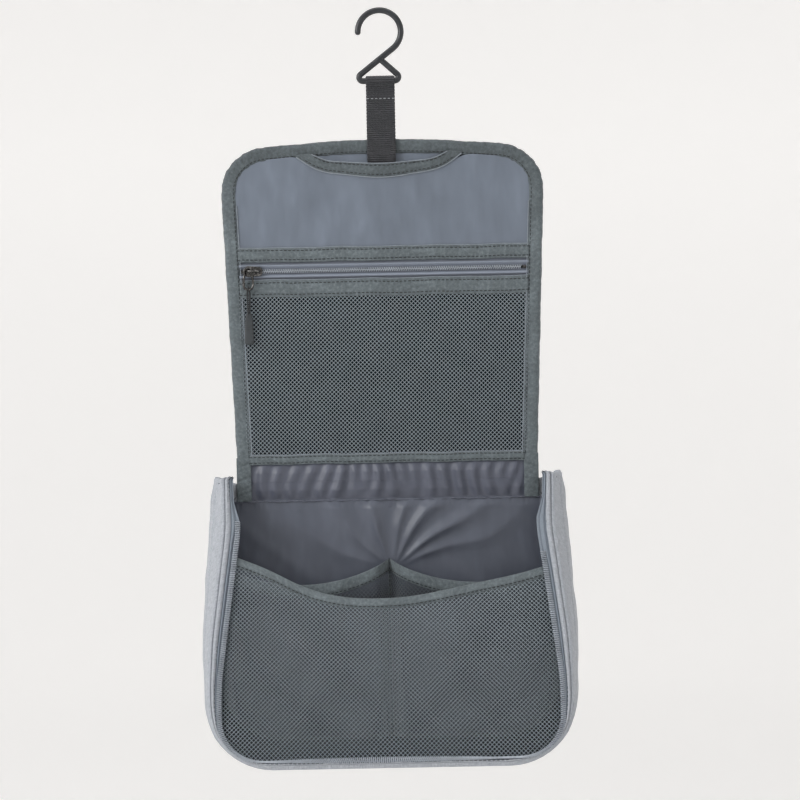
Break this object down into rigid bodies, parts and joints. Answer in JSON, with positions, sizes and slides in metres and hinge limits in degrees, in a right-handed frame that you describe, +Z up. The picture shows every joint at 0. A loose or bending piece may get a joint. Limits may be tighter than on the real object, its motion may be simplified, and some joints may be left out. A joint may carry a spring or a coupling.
{
  "type": "hanging toiletry bag",
  "caption": "Fold-open hanging wash bag with a wire hook on a webbing strap, a flat lid with a zipped mesh pocket, and a wedge-shaped pouch with mesh pockets.",
  "frame": {"origin": "where the hook hangs, inside the top of its curl", "axes": "+Z up, +Y towards the wall that the bag hangs on, +X to the right of the open bag"},
  "size_m": [0.2522, 0.1136, 0.5127],
  "materials": {
    "hook_plastic": "satin black moulded plastic",
    "webbing": "charcoal woven polyester webbing",
    "stitch_thread": "light grey sewing thread",
    "lining_satin": "smooth grey satin lining",
    "foam": "closed-cell foam sheet",
    "shell_fabric": "light grey melange polyester",
    "binding_tape": "grey-green woven binding tape",
    "net": "knitted polyester net",
    "zip_tape": "light grey zip tape",
    "zip_coil": "nylon zip coil",
    "gunmetal": "gunmetal plated zinc",
    "pull_cord": "braided cord",
    "pull_rubber": "moulded pull tab"
  },
  "bodies": {
    "hook": {"hook": "hook_plastic"},
    "strap": {"hanging_strap": "webbing", "strap_stitching": "stitch_thread"},
    "lid": {"strap_sewn_end": "webbing", "lid_lining": "lining_satin", "lid_foam": "foam", "lid_shell": "shell_fabric", "lid_binding": "binding_tape", "strap_pocket_panel": "lining_satin", "crescent_binding": "binding_tape", "pocket_upper_band": "binding_tape", "pocket_lower_band": "binding_tape", "lid_mesh": "net", "mesh_bottom_band": "binding_tape", "pocket_zip_tapes": "zip_tape", "pocket_zip_coil": "zip_coil", "pocket_zip_stops": "gunmetal", "main_zip_tape_lid": "zip_tape", "main_zip_coil_lid": "zip_coil"},
    "pocket_slide": {"pocket_slider": "gunmetal"},
    "pocket_pull": {"pocket_puller": "gunmetal"},
    "pocket_tab": {"pull_cord": "pull_cord", "pull_tab": "pull_rubber"},
    "left_slide": {"main_slider_left": "gunmetal"},
    "left_pull": {"main_puller_left": "gunmetal"},
    "right_slide": {"main_slider_right": "gunmetal"},
    "right_pull": {"main_puller_right": "gunmetal"},
    "top_strip": {"strip_lining": "lining_satin", "strip_shell": "shell_fabric", "strip_bindings": "binding_tape"},
    "pouch": {"back_shell": "shell_fabric", "back_foam": "foam", "back_lining": "lining_satin", "gusset_shell": "shell_fabric", "gusset_foam": "foam", "gusset_lining": "lining_satin", "rim_facing": "shell_fabric", "main_zip_tape_pouch": "zip_tape", "main_zip_coil_pouch": "zip_coil", "front_mesh": "net", "front_mesh_binding": "binding_tape", "inner_pocket_left": "net", "inner_pocket_binding_left": "binding_tape", "inner_pocket_right": "net", "inner_pocket_binding_right": "binding_tape"}
  },
  "joints": [
    {"name": "strap_swing", "type": "hinge", "parent": "hook", "child": "strap", "pos_m": [0, 0, -0.0472], "axis": [-1, 0, 0], "range_deg": [-90, 90]},
    {"name": "strap_fold", "type": "hinge", "parent": "strap", "child": "lid", "pos_m": [0, -0.0032, -0.1034], "axis": [1, 0, 0], "range_deg": [-150, 0]},
    {"name": "lid_fold", "type": "hinge", "parent": "lid", "child": "top_strip", "pos_m": [0, 0.001, -0.31415], "axis": [-1, 0, 0], "range_deg": [0, 104]},
    {"name": "strip_fold", "type": "hinge", "parent": "top_strip", "child": "pouch", "pos_m": [0, 0.001, -0.3386], "axis": [-1, 0, 0], "range_deg": [0, 46]},
    {"name": "pocket_zip_run", "type": "slide", "parent": "lid", "child": "pocket_slide", "axis": [1, 0, 0], "range_m": [0, 0.182]},
    {"name": "pocket_pull_swing", "type": "hinge", "parent": "pocket_slide", "child": "pocket_pull", "pos_m": [-0.09465, -0.00135, -0.1787], "axis": [0, 1, 0], "range_deg": [-60, 90]},
    {"name": "pocket_tab_lift", "type": "hinge", "parent": "pocket_pull", "child": "pocket_tab", "pos_m": [-0.09465, -0.00125, -0.191], "axis": [1, 0, 0], "range_deg": [-90, 0]},
    {"name": "left_zip_run", "type": "slide", "parent": "lid", "child": "left_slide", "axis": [-0.0409, 0, 0.9992], "range_m": [0, 0.17]},
    {"name": "left_pull_lift", "type": "hinge", "parent": "left_slide", "child": "left_pull", "pos_m": [-0.10262, 0.0146, -0.3019], "axis": [0.9992, 0, 0.0409], "range_deg": [0, 150]},
    {"name": "right_zip_run", "type": "slide", "parent": "lid", "child": "right_slide", "axis": [0.0409, 0, 0.9992], "range_m": [0, 0.17]},
    {"name": "right_pull_lift", "type": "hinge", "parent": "right_slide", "child": "right_pull", "pos_m": [0.10262, 0.0146, -0.3019], "axis": [0.9992, 0, -0.0409], "range_deg": [0, 150]}
  ],
  "couplings": [
    {"joint": "strip_fold", "follows": "lid_fold", "ratio": 0.4423}
  ]
}
